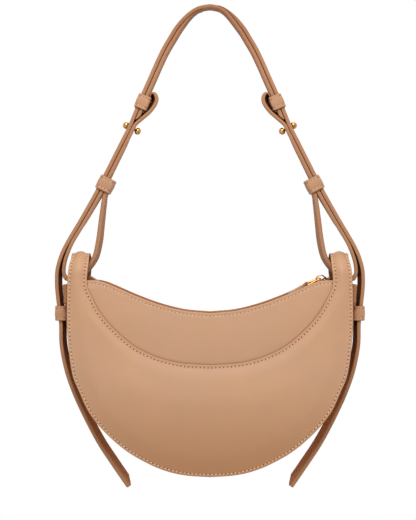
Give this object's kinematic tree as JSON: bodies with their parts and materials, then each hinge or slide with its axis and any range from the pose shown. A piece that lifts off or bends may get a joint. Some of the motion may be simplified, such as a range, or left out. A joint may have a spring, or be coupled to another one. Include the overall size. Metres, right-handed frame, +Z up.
{
  "type": "half moon bag",
  "caption": "Crescent shoulder bag of smooth leather with a curved zip between its horns and a handle of layered flat straps, keepers and ball studs.",
  "frame": {"origin": "under the middle of the handle's crown, where a hook or shoulder carries the bag", "axes": "+Z up along the hanging bag, the front faces -Y, +X to the right seen from the front"},
  "size_m": [0.2588, 0.065, 0.4052],
  "materials": {
    "bag_leather": "smooth satin calf leather, tan",
    "strap_leather": "smooth leather with painted edges, tan",
    "lining_cloth": "woven cotton lining",
    "zip_tape": "woven zip tape",
    "foam": "thin felted foam, hidden",
    "board": "fibre board, hidden",
    "gold_metal": "polished gold-coloured metal"
  },
  "bodies": {
    "handle": {"long_strap_left": "strap_leather", "long_strap_right": "strap_leather", "handle_ply_left": "strap_leather", "loop_strap_left": "strap_leather", "loop_strap_right": "strap_leather", "upper_keeper_left": "bag_leather", "upper_keeper_right": "bag_leather", "stud_post_left": "gold_metal", "stud_post_right": "gold_metal", "stud_ball_left": "gold_metal", "stud_ball_right": "gold_metal"},
    "keeper_left": {"lower_keeper_left": "bag_leather"},
    "keeper_right": {"lower_keeper_right": "bag_leather"},
    "bag": {"front_panel": "bag_leather", "back_panel": "bag_leather", "front_padding": "foam", "back_padding": "foam", "front_yoke": "bag_leather", "back_yoke": "bag_leather", "gusset": "bag_leather", "base_board": "board", "front_lining": "lining_cloth", "back_lining": "lining_cloth", "gusset_lining": "lining_cloth", "inner_pocket": "lining_cloth", "horn_lining_left": "bag_leather", "horn_lining_right": "bag_leather", "horn_floor_left": "bag_leather", "horn_floor_right": "bag_leather", "zip_tape_front": "zip_tape", "zip_tape_back": "zip_tape", "zip_teeth_front": "gold_metal", "zip_teeth_back": "gold_metal", "zip_end_stops": "gold_metal", "zip_end_tab_left": "bag_leather", "zip_end_tab_right": "bag_leather", "side_strap_left": "strap_leather", "side_strap_right": "strap_leather", "side_keeper_left": "bag_leather", "side_keeper_right": "bag_leather", "side_tab_left": "bag_leather", "side_tab_right": "bag_leather"},
    "tail_left": {"strap_tail_left": "strap_leather"},
    "tail_right": {"strap_tail_right": "strap_leather"},
    "slider": {"zip_slider": "gold_metal"},
    "link": {"pull_link": "gold_metal"},
    "pull": {"pull_tab": "bag_leather"}
  },
  "joints": [
    {"name": "bag_swing", "type": "hinge", "parent": "handle", "child": "bag", "pos_m": [0, 0, -0.22489], "axis": [1, 0, 0], "range_deg": [-15, 15]},
    {"name": "zip_travel", "type": "hinge", "parent": "bag", "child": "slider", "pos_m": [0, 0, -0.06841], "axis": [0, 1, 0], "range_deg": [0, 50]},
    {"name": "link_lift", "type": "hinge", "parent": "slider", "child": "link", "pos_m": [0.09219, 0, -0.22707], "axis": [0, 1, 0], "range_deg": [0, 80]},
    {"name": "pull_lift", "type": "hinge", "parent": "link", "child": "pull", "pos_m": [0.08101, 0, -0.23267], "axis": [0, 1, 0], "range_deg": [0, 35]},
    {"name": "tail_left_swing", "type": "hinge", "parent": "bag", "child": "tail_left", "pos_m": [-0.12421, 0, -0.26839], "axis": [0, 1, 0], "range_deg": [0, 40], "stiffness_Nm_per_rad": 0.02, "springref_deg": -11.46},
    {"name": "tail_right_swing", "type": "hinge", "parent": "bag", "child": "tail_right", "pos_m": [0.12421, 0, -0.26839], "axis": [0, -1, 0], "range_deg": [0, 40], "stiffness_Nm_per_rad": 0.02, "springref_deg": -11.46},
    {"name": "keeper_left_slide", "type": "slide", "parent": "handle", "child": "keeper_left", "axis": [0.4505, 0, 0.8928], "range_m": [0, 0.018]},
    {"name": "keeper_right_slide", "type": "slide", "parent": "handle", "child": "keeper_right", "axis": [-0.4505, 0, 0.8928], "range_m": [0, 0.018]}
  ]
}
